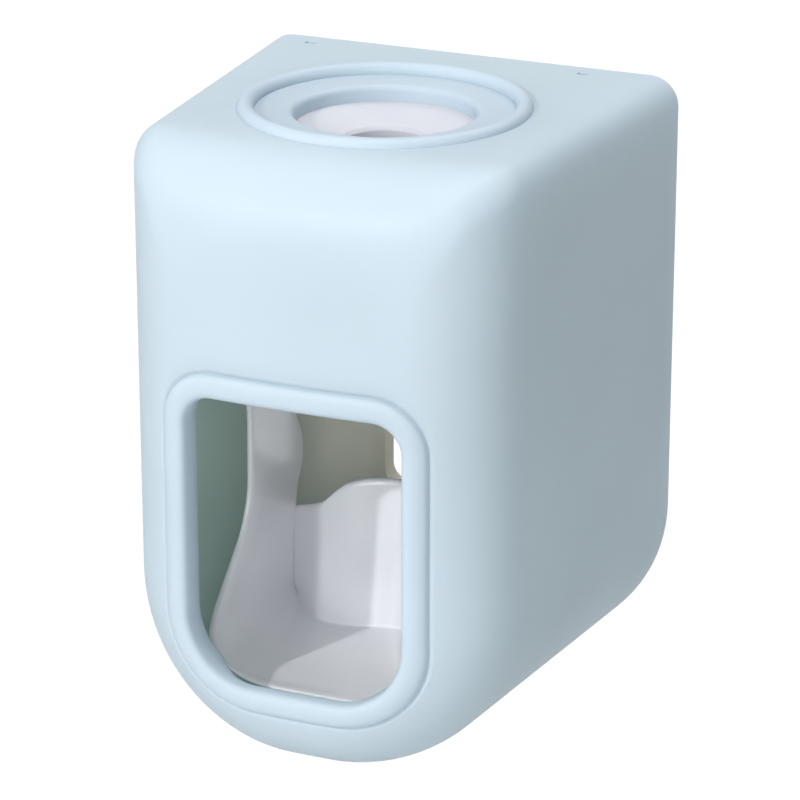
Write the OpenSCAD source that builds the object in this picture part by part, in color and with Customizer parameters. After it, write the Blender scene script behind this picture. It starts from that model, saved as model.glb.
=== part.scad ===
// Wall toothpaste dispenser: a tube stands upside down in the top seal, and pushing a
// toothbrush against the swinging lever behind the window pumps paste out of the nozzle.
// The casing is built with its back plane at y = 0 and its lowest point at z = 0, front
// towards -Y. in_wall_frame() then puts the origin on the wall, at the upper pad's centre.

/* [Casing] */
// Width of the casing at its back
case_w = 70; // [64:1:80]
// Height of the casing, without the top ring
case_h = 97.6; // [94:0.2:110]
// Depth of the casing at its sides
case_d = 64.4; // [62:0.2:72]
// How far the front face bulges at its middle
front_crown = 2.9; // [1:0.1:4]
// How far each side leans in from the back to the front
side_taper = 5.1; // [3:0.1:5.6]
// How far the bottom rises from the back to the front
bottom_rise = 1; // [0:0.1:1.2]
// Radius of the two top corners, seen from the front
top_corner_r = 4.6; // [3.5:0.1:6]
// Radius of the two bottom corners, seen from the front
bottom_corner_r = 27.4; // [25:0.2:28]
// Radius between the front face and the sides
front_fillet_r = 12.2; // [9:0.2:13]
// Wall thickness of the casing
wall = 2.2; // [1.8:0.1:2.4]

/* [Brush window] */
// Width of the window
window_w = 35.4; // [32:0.2:36.4]
// Height of the window's lower edge above the casing's lowest point
window_low = 15.1; // [14.5:0.1:17]
// Height of the window's upper edge
window_high = 60.6; // [56:0.1:61]
// Radius of the window's upper corners
window_top_r = 4.6; // [3:0.1:7]
// Radius of the window's lower corners
window_bottom_r = 10.5; // [8:0.1:12]
// Width of the raised bead round the window
bead_w = 3.4; // [2.5:0.1:3.6]
// How far the bead stands out of the front
bead_h = 1; // [0.6:0.1:1.4]
// How far the flange round the window reaches inwards behind the wall
flange_in = 2; // [1:0.1:2.4]

/* [Tube inlet] */
// Distance of the inlet's axis from the casing's back plane
inlet_y = 32.7; // [32:0.1:33.5]
// Radius of the crest of the top ring
ring_r = 21; // [19.6:0.1:22]
// Half width and height of the top ring's round bead
ring_bead_r = 1.3; // [0.8:0.1:1.5]
// Depth of the recess inside the ring
recess_depth = 0.5; // [0.3:0.1:0.8]
// Radius of the hole in the top
hole_r = 13.7; // [12.5:0.1:14.5]
// Extra thickness of the casing's top round the hole
hole_lip = 0.8; // [0.5:0.1:1.2]
// Radius of the seal's bore, which grips the tube's neck
neck_r = 6; // [5:0.1:6.6]
// Length of the seal's bore
neck_length = 5.6; // [5:0.1:5.6]
// Wall thickness of the seal
seal_wall = 2.1; // [1.6:0.1:2.2]
// Drop of the seal's dish from its rim to its bore
dish_drop = 1.8; // [1.6:0.1:2.4]

/* [Frame] */
// Thickness of the frame's deck
deck_t = 2; // [1.6:0.1:2.4]
// Gap between the casing's top wall and the deck, which the seal and its ring fill
deck_drop = 4.9; // [4.7:0.1:5.2]
// Thickness of each cheek that carries a pivot
cheek_t = 2.2; // [1.8:0.1:2.5]
// Distance of each cheek's outer face from the middle plane
cheek_x = 20.4; // [20:0.1:20.6]
// Radius of the hole that a screw cuts its thread in
pilot_r = 1.1; // [0.9:0.05:1.2]
// Radius of the holes that screws pass through
screw_hole_r = 1.6; // [1.5:0.05:1.8]

/* [Pump] */
// Distance of the plunger's axis from the casing's back plane
plunger_y = 15; // [14.6:0.1:15.2]
// Bore radius of the plunger's barrel
barrel_r = 8; // [7.4:0.1:8.2]
// Wall thickness of the pump body
pump_wall = 1.6; // [1.4:0.1:1.8]
// Inner radius of the paste passage
passage_r = 6.4; // [6:0.1:6.6]
// Gap between the plunger's seal and its bore
seal_gap = 0.05; // [0.02:0.01:0.08]
// Radius of the plunger's stem
stem_r = 4; // [3.6:0.1:4.2]
// Wire thickness of the return spring
wire_d = 0.6; // [0.5:0.05:0.65]
// Turns of the return spring
spring_turns = 3; // [2.5:0.5:3]
// Drop of the nozzle's tip below the paste passage
nozzle_drop = 11; // [9:0.2:12]
// Length of the plunger's barrel
barrel_length = 13.3; // [13:0.1:14]
// Radius of the nozzle's spout opening
spout_r = 4.6; // [4.4:0.1:4.8]

/* [Push lever] */
// Distance of the lever's pivot axis from the casing's back plane
pivot_y = 31; // [30.6:0.1:31.4]
// Drop of the lever's pivot axis below the frame's deck
pivot_drop = 26.5; // [26:0.1:26.8]
// Radius of the pivot pins
pivot_r = 2; // [1.6:0.1:2.3]
// Radial gap of the lever on its pivot pins
pivot_gap = 0.05; // [0.02:0.01:0.09]
// Half of the clear width between the lever's arms
lever_half_w = 21.5; // [21.2:0.1:21.6]
// Wall thickness of the lever
lever_wall = 1.6; // [1.3:0.1:1.7]
// Swing of the lever from rest to its stop, in degrees
lever_swing = 12; // [8:0.5:12]
// Distance of the drive pin from the casing's back plane
drive_y = 15; // [14.6:0.1:15.2]
// Radius of the drive pin
drive_r = 1.5; // [1.2:0.1:1.7]
// Height of the scoop's floor above the casing's lowest point
scoop_floor = 10.5; // [10:0.1:11]
// Radius between the scoop's floor and the arms
scoop_corner_r = 14; // [12:0.2:16]
// Distance of the scoop's front lip from the casing's back plane
scoop_front = 57; // [54:0.1:57.5]
// Half width of the push plate
plate_half_w = 13.2; // [12.5:0.1:14]
// Distance of the push plate's two ridges from the casing's back plane
plate_y = 30.6; // [28:0.1:31]
// Distance of each ridge from the middle plane
ridge_x = 8.5; // [6:0.1:10]
// Depth of the hollow between the ridges
plate_dish = 2.1; // [0.5:0.1:2.4]
// Height of the push plate's top above the casing's lowest point
plate_top = 35.2; // [33:0.1:36]
// Height of the wings' top where they reach the arms
wing_top = 24.4; // [22:0.1:26]
// Lean of the push plate towards the back, in degrees
plate_lean = 4.4; // [2:0.2:6]

/* [Back cover and pads] */
// Thickness of the back cover
cover_t = 2; // [1.6:0.1:2.4]
// Gap between the back cover and the casing's wall
cover_gap = 0.3; // [0.25:0.05:0.5]
// Width of the opening in the back cover
opening_w = 26; // [20:0.5:28]
// Height of the opening's lower edge
opening_low = 24; // [23:0.5:28]
// Height of the opening's upper edge
opening_high = 56; // [48:0.5:57]
// Thickness of the adhesive pads
pad_t = 1; // [0.6:0.1:1.6]
// Width of the upper pad
pad_w = 56; // [44:1:58]
// Drop of the upper pad's middle below the casing's top
pad_drop = 19.6; // [19:0.1:21]

/* [Hidden] */

$fn = 64;
eps = 0.01;
fit_gap = 0.3;

// Casing surface: points round each section, and sections from back to front
corner_steps = 8;
bottom_steps = 16;
fillet_steps = 8;
face_steps = 4;
inner_corner_share = 0.8;

flange_wall = 1.6;
top_under = case_h - wall;
deck_top = top_under - deck_drop;
deck_under = deck_top - deck_t;
pivot_z = deck_under - pivot_drop;
pad_mid_z = case_h - pad_drop;
deck_half_w = 27.5;
deck_front = 54;
deck_back = 6;
boss_r = 3.2;
boss_back = [24, 15];
boss_front = [21, 49.5];
boss_places = [[-1, boss_back], [1, boss_back], [-1, boss_front], [1, boss_front]];

collar_wall = 1.8;
collar_h = 2.4;
seal_flange_r = 16.7;
seal_flange_t = 2.2;
collar_r = seal_flange_r + fit_gap;
seal_rim_z = top_under - hole_lip;
seal_low_z = seal_rim_z - dish_drop - neck_length - 0.6;
ring_inner_r = neck_r + seal_wall + 2.2;

flange_t = 2;
flange_top = deck_under;
flange_under = flange_top - flange_t;
flange_half_w = 16;
flange_front = 46;
flange_back = 4.4;
pump_screw_x = 13;
pump_screw_ys = [43, 7];
seat_t = 1.4;
seat_top = flange_under - 0.3;
seat_under = seat_top - seat_t;
seat_hole_r = 1.3;
seat_hole_ring = 3.7;
valve_r = 5.7;
valve_t = 0.9;
valve_stem_r = 0.9;
port_w = 6;
port_h = 4;
port_top = seat_under - 0.8;
barrel_roof = seat_under;
barrel_mouth = barrel_roof - barrel_length;
passage_end = barrel_roof - 22.8;
thread_top = passage_end + 6;
nozzle_tip = passage_end - nozzle_drop;

stop_gap = 0.3;
stop_t = 2.4;
stop_h = 5;
drive_z = pivot_z - 1.5;
drive_arm = pivot_y - drive_y;
plunger_travel = drive_arm * sin(lever_swing);
foot_low = drive_z + drive_r + stop_gap;
foot_t = 1.5;
foot_top = foot_low + foot_t;
foot_r = stem_r + 3;
cap_t = 1.5;
cap_rim = 1.6;
cap_rim_t = 1.2;
cap_low = barrel_mouth - cap_t;
head_low = barrel_mouth + 2;
head_h = 5;
head_top = head_low + head_h;
head_r = barrel_r - 0.4;
groove_low = head_low + 1.6;
groove_h = 1.8;
groove_r = head_r - 1.4;
spring_r = stem_r + 1.6;
spring_sides = 6;
spring_rings = 8;

collar_nut_r = passage_r + pump_wall + 2.2;
collar_floor_top = passage_end - 1.6;
collar_floor_t = 1.6;
bill_r = spout_r - 0.4;
bill_tip_z = passage_end - 7.5;
bill_tip_r = 1.6;
bill_root = 1.6;
bill_skin = 1.4;
slit_l = 2.4;
slit_w = 0.4;
slit_h = 3;
rib_count = 18;
rib_w = 1;
rib_short = 1.5;

head_gap = 0.3;
hub_r = 5.5;
hub_inner_x = cheek_x + 0.3;
hub_outer_x = lever_half_w + lever_wall + 2;
horn_r = 3.2;
pin_head_r = 3.4;
pin_head_t = 1.3;
arm_front = 37.6;
arm_slim = 34.4;
wing_back_y = 20.5;
wing_reach = lever_half_w + 0.4;
plate_corner_r = 9;
shoulder_in = 0.7;
shoulder_drop = 4.9;
plate_steps = 8;
wing_steps = 6;

cover_half_w = case_w / 2 - wall - cover_gap;
cover_corner_r = top_corner_r - wall + inner_corner_share * wall;
notch_places = [-25.8, 20.5];
notch_w = 1.8;
notch_y = 3.5;
tab_t = 1.4;
tab_w = 6;
tab_len = 5;
leg_x = 22;
leg_w = 8;
leg_low = deck_under - 27.5;
leg_front = 9;
cover_screw_z = leg_low + 4;
screw_head_r = 2.8;
screw_head_t = 1.4;
frame_screw_grip = 3.6;
screw_tip_gap = 2;
cross_l = 2.6;
cross_w = 0.6;
lower_pad_w = 34;
lower_pad_h = 11;
lower_pad_z = 15;
upper_pad_h = 20;

casing_blue = [0.80, 0.88, 0.91];
plastic_white = [0.92, 0.92, 0.94];
silicone_white = [0.90, 0.87, 0.88];
steel = [0.72, 0.73, 0.75];
foam_grey = [0.70, 0.71, 0.72];

// Places the casing's own coordinates in the wall's frame
module in_wall_frame() {
    translate([0, -pad_t, -pad_mid_z]) children();
}

// A copy on each side of the middle plane
module both_sides() {
    children();
    mirror([1, 0, 0]) children();
}

// Extrudes an outline drawn in x and z from y_back to y_front, both counted to the front
module along_depth(y_back, y_front) {
    translate([0, -y_back, 0]) rotate([90, 0, 0]) linear_extrude(y_front - y_back) children();
}

// Extrudes an outline drawn in y and z between two x values
module along_width(x_low, x_high) {
    translate([x_low, 0, 0]) rotate([90, 0, 90]) linear_extrude(x_high - x_low) children();
}

// An upright outline with its own radii at the top and at the bottom
module upright_outline(half_w, low, high, top_r, bottom_r) {
    translate([-half_w, low + bottom_r]) square([2 * half_w, high - top_r - low - bottom_r]);
    translate([-half_w + bottom_r, low]) square([2 * (half_w - bottom_r), bottom_r + eps]);
    translate([-half_w + top_r, high - top_r - eps]) square([2 * (half_w - top_r), top_r + eps]);
    for (side = [-1, 1]) {
        translate([side * (half_w - bottom_r), low + bottom_r]) circle(bottom_r);
        translate([side * (half_w - top_r), high - top_r]) circle(top_r);
    }
}

// Points of the casing's outline, inset by a distance, at a share of the depth
function arc(cx, cz, r, from, to, steps) =
    [for (i = [0 : steps]) let (a = from + (to - from) * i / steps) [cx + r * cos(a), cz + r * sin(a)]];

function case_outline(inset, share, corner_inset) =
    let (
        half_w = case_w / 2 - inset - side_taper * share,
        low = inset + bottom_rise * share,
        high = case_h - inset,
        rt = max(top_corner_r - corner_inset, 0) + inner_corner_share * corner_inset,
        rb = bottom_corner_r - corner_inset
    )
    concat(
        arc(half_w - rt, high - rt, rt, 0, 90, corner_steps),
        arc(-half_w + rt, high - rt, rt, 90, 180, corner_steps),
        arc(-half_w + rb, low + rb, rb, 180, 270, bottom_steps),
        arc(half_w - rb, low + rb, rb, 270, 360, bottom_steps)
    );

// The front bulges across its width
function crown_at(x, share) = front_crown * share * (1 - pow(2 * x / case_w, 2));

function case_ring(y, inset, corner_inset) =
    let (share = y / case_d)
    [for (p = case_outline(inset, share, corner_inset)) [p[0], -y - crown_at(p[0], share), p[1]]];

function face_ring(y, inset, corner_inset, keep) =
    let (share = y / case_d, mid = case_h / 2)
    [for (p = case_outline(inset, share, corner_inset))
        [p[0] * keep, -y - crown_at(p[0] * keep, share), mid + (p[1] - mid) * keep]];

// Closed form of the casing, moved in by a wall, from y_back to its front face
function case_rings(in_by, y_back) =
    let (
        bend_y = case_d - front_fillet_r,
        r = front_fillet_r - in_by,
        front_y = bend_y + r,
        last_inset = in_by + r,
        last_corner = in_by + r
    )
    concat(
        [case_ring(y_back, in_by, in_by)],
        [case_ring(bend_y * 0.5, in_by, in_by)],
        [for (i = [0 : fillet_steps])
            let (a = 90 * i / fillet_steps)
            case_ring(bend_y + r * sin(a), in_by + r * (1 - cos(a)), in_by + r * (1 - cos(a)))],
        [for (i = [1 : face_steps - 1]) face_ring(front_y, last_inset, last_corner, 1 - i / face_steps)]
    );

module case_form(in_by, y_back) {
    rings = case_rings(in_by, y_back);
    n = len(rings[0]);
    count = len(rings);
    front_y = case_d - in_by;
    tip = [0, -front_y - crown_at(0, front_y / case_d), case_h / 2];
    back = [0, rings[0][0][1], case_h / 2];
    points = concat([for (ring = rings) for (p = ring) p], [tip, back]);
    tip_index = count * n;
    back_index = tip_index + 1;
    sides = [for (k = [0 : count - 2]) for (i = [0 : n - 1])
        let (a = k * n + i, b = k * n + (i + 1) % n)
        each [[a, a + n, b], [b, a + n, b + n]]];
    front = [for (i = [0 : n - 1]) [(count - 1) * n + i, tip_index, (count - 1) * n + (i + 1) % n]];
    rear = [for (i = [0 : n - 1]) [i, (i + 1) % n, back_index]];
    polyhedron(points, concat(sides, front, rear), convexity = 6);
}

module window_outline(grow) {
    upright_outline(window_w / 2 + grow, window_low - grow, window_high + grow,
        window_top_r + grow, window_bottom_r + grow);
}

module at_inlet(z) {
    translate([0, -inlet_y, z]) children();
}

module tube(r_out, r_in, h) {
    difference() {
        cylinder(h = h, r = r_out);
        translate([0, 0, -1]) cylinder(h = h + 2, r = r_in);
    }
}

module casing() {
    color(casing_blue) in_wall_frame() difference() {
        union() {
            difference() {
                case_form(0, 0);
                case_form(wall, -1);
            }
            intersection() {
                difference() {
                    case_form(-bead_h, 0);
                    case_form(wall / 2, -1);
                }
                along_depth(case_d - front_fillet_r, case_d + front_crown + 2 * bead_h) window_outline(bead_w);
            }
            intersection() {
                difference() {
                    case_form(wall / 2, -1);
                    case_form(wall + flange_in, -1);
                }
                along_depth(case_d - front_fillet_r, case_d + front_crown)
                    window_outline(flange_wall);
                translate([-case_w / 2, -case_d - front_crown, window_low + window_bottom_r])
                    cube([case_w, case_d, window_high]);
            }
            at_inlet(case_h) rotate_extrude() translate([ring_r, 0]) circle(ring_bead_r);
            at_inlet(top_under - collar_h) tube(collar_r + collar_wall, collar_r, collar_h + eps);
            at_inlet(top_under - hole_lip) cylinder(h = hole_lip + eps, r = collar_r + eps);
            for (place = boss_places)
                translate([place[0] * place[1][0], -place[1][1], deck_top])
                    tube(boss_r, pilot_r, deck_drop + eps);
        }
        along_depth(case_d - front_fillet_r - 4, case_d + 10) window_outline(0);
        at_inlet(top_under - hole_lip - 1) cylinder(h = wall + hole_lip + 4, r = hole_r);
        at_inlet(case_h - recess_depth) cylinder(h = ring_bead_r + 2, r = ring_r - ring_bead_r);
        at_inlet(case_h - recess_depth - 1) rotate_extrude() difference() {
            square([hole_r + 1, 1 + eps]);
            translate([hole_r + 1, 0]) circle(1);
        }
        for (x = notch_places)
            translate([x - notch_w / 2, -notch_y - 0.6, top_under - eps]) cube([notch_w, 1.2, wall + 1]);
    }
}

module back_cover() {
    color(casing_blue) in_wall_frame() difference() {
        union() {
            along_depth(0, cover_t) upright_outline(cover_half_w, wall + cover_gap, top_under - cover_gap,
                cover_corner_r, bottom_corner_r - wall - cover_gap);
            along_depth(cover_t - eps, cover_t + 1.5) difference() {
                upright_outline(opening_w / 2 + 2, opening_low - 2, opening_high + 2, 5, 5);
                upright_outline(opening_w / 2, opening_low, opening_high, 3, 3);
            }
            for (x = notch_places) {
                translate([x - tab_w / 2, -cover_t - tab_len, top_under - cover_gap - tab_t])
                    cube([tab_w, tab_len + eps, tab_t]);
                translate([x - notch_w / 2 + 0.15, -notch_y - 0.45, top_under - cover_gap - eps])
                    cube([notch_w - 0.3, 0.9, wall]);
            }
        }
        along_depth(-1, cover_t + 3) upright_outline(opening_w / 2, opening_low, opening_high, 3, 3);
        for (side = [-1, 1]) translate([side * leg_x, 1, cover_screw_z]) rotate([90, 0, 0]) {
            cylinder(h = cover_t + 2, r = screw_hole_r);
            cylinder(h = 1 + screw_head_t, r = screw_head_r + 0.3);
        }
    }
}

module upper_wall_pad() {
    color(foam_grey) in_wall_frame()
        along_depth(-pad_t, 0) upright_outline(pad_w / 2, pad_mid_z - upper_pad_h / 2,
            pad_mid_z + upper_pad_h / 2, 3, 3);
}

module lower_wall_pad() {
    color(foam_grey) in_wall_frame()
        along_depth(-pad_t, 0) upright_outline(lower_pad_w / 2, lower_pad_z - lower_pad_h / 2,
            lower_pad_z + lower_pad_h / 2, 3, 5);
}

module tube_seal() {
    bore_top = seal_rim_z - dish_drop;
    color(silicone_white) in_wall_frame() at_inlet(0) rotate_extrude() polygon([
        [neck_r, seal_low_z],
        [neck_r + seal_wall, seal_low_z],
        [neck_r + seal_wall, bore_top - seal_flange_t + 0.6],
        [ring_inner_r, seal_rim_z - seal_flange_t],
        [seal_flange_r, seal_rim_z - seal_flange_t],
        [seal_flange_r, seal_rim_z],
        [hole_r, seal_rim_z],
        [neck_r + 0.6, bore_top],
        [neck_r, bore_top - 0.6]
    ]);
}

module seal_support_ring() {
    color(plastic_white) in_wall_frame() at_inlet(deck_top)
        tube(seal_flange_r - 0.2, ring_inner_r, seal_rim_z - seal_flange_t - deck_top);
}

module cheek_outline() {
    translate([-pivot_y, pivot_z]) circle(hub_r);
    translate([-pivot_y - hub_r, pivot_z]) square([2 * hub_r, deck_under - pivot_z + eps]);
    translate([-arm_front - stop_gap - stop_t, pivot_z - stop_h]) square([stop_t, 2 * stop_h]);
    translate([-arm_front - stop_gap - stop_t, pivot_z])
        square([arm_front + stop_gap + stop_t - pivot_y, stop_h]);
}

module core_frame() {
    color(plastic_white) in_wall_frame() difference() {
        union() {
            translate([-deck_half_w, -deck_front, deck_under])
                cube([2 * deck_half_w, deck_front - deck_back, deck_t]);
            both_sides() {
                along_width(cheek_x - cheek_t, cheek_x) cheek_outline();
                along_width(cheek_x - eps, lever_half_w + lever_wall)
                    translate([-arm_front - stop_gap - stop_t, pivot_z - stop_h])
                        square([stop_t, stop_h * 0.8]);
                translate([leg_x - leg_w / 2, -leg_front, leg_low])
                    cube([leg_w, leg_front - cover_t, deck_under - leg_low + eps]);
                translate([leg_x - leg_w / 2, -leg_front, deck_under])
                    cube([leg_w, leg_front - cover_t, deck_t]);
            }
        }
        at_inlet(deck_under - 1) cylinder(h = deck_t + 2, r = neck_r + seal_wall + 0.4);
        for (place = boss_places)
            translate([place[0] * place[1][0], -place[1][1], deck_under - 1])
                cylinder(h = deck_t + 2, r = screw_hole_r);
        for (side = [-1, 1]) {
            for (y = pump_screw_ys)
                translate([side * pump_screw_x, -y, deck_under - 1]) cylinder(h = deck_t + 2, r = pilot_r);
            translate([side * leg_x, 0, cover_screw_z]) rotate([90, 0, 0])
                cylinder(h = leg_front - 1, r = pilot_r);
        }
        both_sides() translate([cheek_x - cheek_t - 1, -pivot_y, pivot_z]) rotate([0, 90, 0])
            cylinder(h = cheek_t + 2, r = pivot_r);
    }
}

// Round-headed screw with a cross recess, its shank pointing up from the head's seat
module screw(shank_r, shank_l) {
    difference() {
        union() {
            translate([0, 0, -screw_head_t]) cylinder(h = screw_head_t, r = screw_head_r - 0.3);
            translate([0, 0, -eps]) cylinder(h = shank_l, r = shank_r);
        }
        for (turn = [0, 90]) rotate([0, 0, turn])
            translate([-cross_l / 2, -cross_w / 2, -screw_head_t - cross_w])
                cube([cross_l, cross_w, 2 * cross_w + 0.1]);
    }
}

module frame_screws() {
    color(steel) in_wall_frame() for (place = boss_places)
        translate([place[0] * place[1][0], -place[1][1], deck_under]) screw(pilot_r, deck_t + frame_screw_grip);
}

module cover_screws() {
    color(steel) in_wall_frame() for (side = [-1, 1])
        translate([side * leg_x, -screw_head_t, cover_screw_z]) rotate([90, 0, 0])
            screw(pilot_r, leg_front - screw_head_t - screw_tip_gap);
}

module pump_screws() {
    color(steel) in_wall_frame() for (side = [-1, 1]) for (y = pump_screw_ys)
        translate([side * pump_screw_x, -y, flange_under]) screw(pilot_r, flange_t + deck_t);
}

module at_plunger(z) {
    translate([0, -plunger_y, z]) children();
}

module pump_body() {
    passage_out = passage_r + pump_wall;
    barrel_out = barrel_r + pump_wall;
    color(plastic_white) in_wall_frame() difference() {
        union() {
            translate([-flange_half_w, -flange_front, flange_under])
                cube([2 * flange_half_w, flange_front - flange_back, flange_t]);
            at_inlet(passage_end) cylinder(h = flange_under - passage_end + eps, r = passage_out);
            at_plunger(barrel_mouth) cylinder(h = flange_under - barrel_mouth + eps, r = barrel_out);
            translate([-port_w / 2 - pump_wall, -inlet_y, barrel_mouth])
                cube([port_w + 2 * pump_wall, inlet_y - plunger_y, flange_under - barrel_mouth + eps]);
        }
        at_inlet(seat_top) cylinder(h = flange_top - seat_top + 1, r = neck_r + seal_wall + 0.4);
        at_inlet(passage_end - 1) cylinder(h = seat_under - passage_end + 1, r = passage_r);
        at_plunger(barrel_mouth - 1) cylinder(h = barrel_roof - barrel_mouth + 1, r = barrel_r);
        translate([-port_w / 2, -inlet_y, port_top - port_h]) cube([port_w, inlet_y - plunger_y, port_h]);
        at_inlet(seat_under - 1) {
            cylinder(h = seat_t + 2, r = valve_stem_r + 0.1);
            for (turn = [0 : 60 : 300]) rotate([0, 0, turn])
                translate([seat_hole_ring, 0, 0]) cylinder(h = seat_t + 2, r = seat_hole_r);
        }
        for (side = [-1, 1]) for (y = pump_screw_ys)
            translate([side * pump_screw_x, -y, flange_under - 1])
                cylinder(h = flange_t + 2, r = screw_hole_r);
    }
}

module inlet_valve() {
    stem_top = seat_top + 0.3;
    color(silicone_white) in_wall_frame() at_inlet(0) rotate_extrude() polygon([
        [0, seat_under - valve_t],
        [valve_r * 0.5, seat_under - valve_t],
        [valve_r, seat_under - 0.3],
        [valve_r, seat_under],
        [valve_stem_r, seat_under],
        [valve_stem_r, seat_top],
        [valve_stem_r + 0.8, seat_top],
        [valve_stem_r + 0.3, stem_top],
        [0, stem_top]
    ]);
}

module outlet_valve() {
    flange_r = passage_r + pump_wall;
    color(silicone_white) in_wall_frame() at_inlet(0) difference() {
        rotate_extrude() polygon([
            [0, bill_tip_z],
            [bill_tip_r, bill_tip_z],
            [bill_r, collar_floor_top - bill_root],
            [bill_r, collar_floor_top],
            [flange_r, collar_floor_top],
            [flange_r, passage_end],
            [bill_r - 1, passage_end],
            [bill_r - 1, collar_floor_top - 1.8],
            [0.7, bill_tip_z + bill_skin],
            [0, bill_tip_z + bill_skin]
        ]);
        translate([-slit_l / 2, -slit_w / 2, bill_tip_z - 1]) cube([slit_l, slit_w, slit_h]);
    }
}

module nozzle_collar() {
    color(plastic_white) in_wall_frame() at_inlet(0) difference() {
        union() {
            translate([0, 0, collar_floor_top - collar_floor_t])
                cylinder(h = thread_top - collar_floor_top + collar_floor_t - 0.5, r = collar_nut_r - 0.5);
            for (i = [0 : rib_count - 1]) rotate([0, 0, 360 * i / rib_count])
                translate([collar_nut_r - 1, -rib_w / 2, collar_floor_top - collar_floor_t + 0.4])
                    cube([1, rib_w, thread_top - collar_floor_top + collar_floor_t - rib_short]);
            translate([0, 0, nozzle_tip])
                cylinder(h = collar_floor_top - nozzle_tip - collar_floor_t + eps, r = spout_r + 1.1);
        }
        translate([0, 0, nozzle_tip - 1]) cylinder(h = thread_top - nozzle_tip, r = spout_r);
        translate([0, 0, collar_floor_top]) cylinder(h = thread_top, r = passage_r + pump_wall + 0.1);
    }
}

module barrel_cap() {
    color(plastic_white) in_wall_frame() at_plunger(cap_low) difference() {
        union() {
            cylinder(h = cap_t, r = barrel_r + pump_wall);
            cylinder(h = cap_t + cap_rim, r = barrel_r);
        }
        translate([0, 0, -cap_t]) cylinder(h = 2 * cap_t + 2 * cap_rim, r = stem_r + fit_gap);
        translate([0, 0, cap_t]) cylinder(h = 2 * cap_rim, r = barrel_r - cap_rim_t);
    }
}

module plunger() {
    color(plastic_white) in_wall_frame() at_plunger(0) difference() {
        union() {
            translate([0, 0, foot_low]) cylinder(h = foot_t, r = foot_r);
            translate([0, 0, foot_low]) cylinder(h = head_low - foot_low + eps, r = stem_r);
            translate([0, 0, head_low]) cylinder(h = head_h, r = head_r);
        }
        translate([0, 0, groove_low]) tube(head_r + 1, groove_r, groove_h);
    }
}

// A ring with a shallow waist, so that two lips meet the bore
module plunger_seal() {
    lip_r = barrel_r - seal_gap;
    color(silicone_white) in_wall_frame() at_plunger(groove_low) rotate_extrude() polygon([
        [groove_r, 0],
        [lip_r, 0],
        [lip_r, groove_h * 0.3],
        [lip_r - 0.5, groove_h * 0.5],
        [lip_r, groove_h * 0.7],
        [lip_r, groove_h],
        [groove_r, groove_h]
    ]);
}

// Least distance between the wire of neighbouring turns
spring_low = foot_top + wire_d / 2;
spring_high = cap_low - wire_d / 2;
spring_pitch = (spring_high - spring_low) / spring_turns;
spring_steps = spring_turns * spring_rings;

function spring_point(i) =
    let (a = 360 * i / spring_rings)
    [spring_r * cos(a), spring_r * sin(a), spring_low + spring_pitch * i / spring_rings];

spring_points = [for (i = [0 : spring_steps]) spring_point(i)];
spring_gap = min([for (i = [0 : spring_steps - spring_rings])
    norm(spring_points[i + spring_rings] - spring_points[i])]) - wire_d;
echo(spring_least_gap_mm = spring_gap);

// The wire is one tube of six sides, swept along the helix
module return_spring() {
    points = [for (i = [0 : spring_steps])
        let (a = 360 * i / spring_rings, c = spring_point(i))
        for (k = [0 : spring_sides - 1])
            let (b = 360 * k / spring_sides, out = wire_d / 2 * cos(b))
            [c[0] + out * cos(a), c[1] + out * sin(a), c[2] + wire_d / 2 * sin(b)]];
    skin = [for (i = [0 : spring_steps - 1]) for (k = [0 : spring_sides - 1])
        let (a = i * spring_sides + k, b = i * spring_sides + (k + 1) % spring_sides)
        each [[a, b, a + spring_sides], [b, b + spring_sides, a + spring_sides]]];
    last = spring_steps * spring_sides;
    ends = [for (k = [1 : spring_sides - 2])
        each [[0, k + 1, k], [last, last + k, last + k + 1]]];
    color(steel) in_wall_frame() at_plunger(0) polyhedron(points, concat(skin, ends), convexity = 8);
}

// Channel between the arms, with a flat floor and round lower corners
module channel(grow) {
    along_depth(-1, scoop_front) upright_outline(lever_half_w + grow, scoop_floor - grow,
        pivot_z + 2 * hub_r, 1, scoop_corner_r + grow);
}

// Height at a share of the way from the scoop's floor up to the pivot
function arm_z(share) = scoop_floor + share * (pivot_z - scoop_floor);

// Side view of the arms and of the scoop below them
module arm_outline() {
    slim_rear = wing_back_y - 0.2;
    polygon([
        [-arm_front, pivot_z],
        [-arm_front, arm_z(0.81)],
        [-arm_slim, arm_z(0.71)],
        [-arm_slim, arm_z(0.44)],
        [-arm_slim - 1, arm_z(0.37)],
        [-arm_slim - 3, arm_z(0.31)],
        [-arm_slim - 8.1, arm_z(0.22)],
        [-arm_slim - 14, arm_z(0.16)],
        [-arm_slim - 18.6, arm_z(0.115)],
        [-scoop_front, arm_z(0.076)],
        [-scoop_front, scoop_floor - 2 * lever_wall],
        [-wing_back_y, scoop_floor - 2 * lever_wall],
        [-wing_back_y + (arm_z(0.29) - scoop_floor) * tan(plate_lean), arm_z(0.29)],
        [-wing_back_y + 2.3, arm_z(0.37)],
        [-wing_back_y + 4.3, arm_z(0.408)],
        [-wing_back_y + 4.7, arm_z(0.466)],
        [-wing_back_y + 3.9, arm_z(0.526)],
        [-wing_back_y + 1.7, arm_z(0.579)],
        [-slim_rear, arm_z(0.65)],
        [-slim_rear, arm_z(0.767)],
        [-drive_y - horn_r, arm_z(0.874)],
        [-drive_y, drive_z - horn_r],
        [-drive_y, drive_z + horn_r],
        [-pivot_y + hub_r, pivot_z + horn_r]
    ]);
    translate([-pivot_y, pivot_z]) circle(hub_r);
    translate([-drive_y, drive_z]) circle(horn_r);
}

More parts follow.
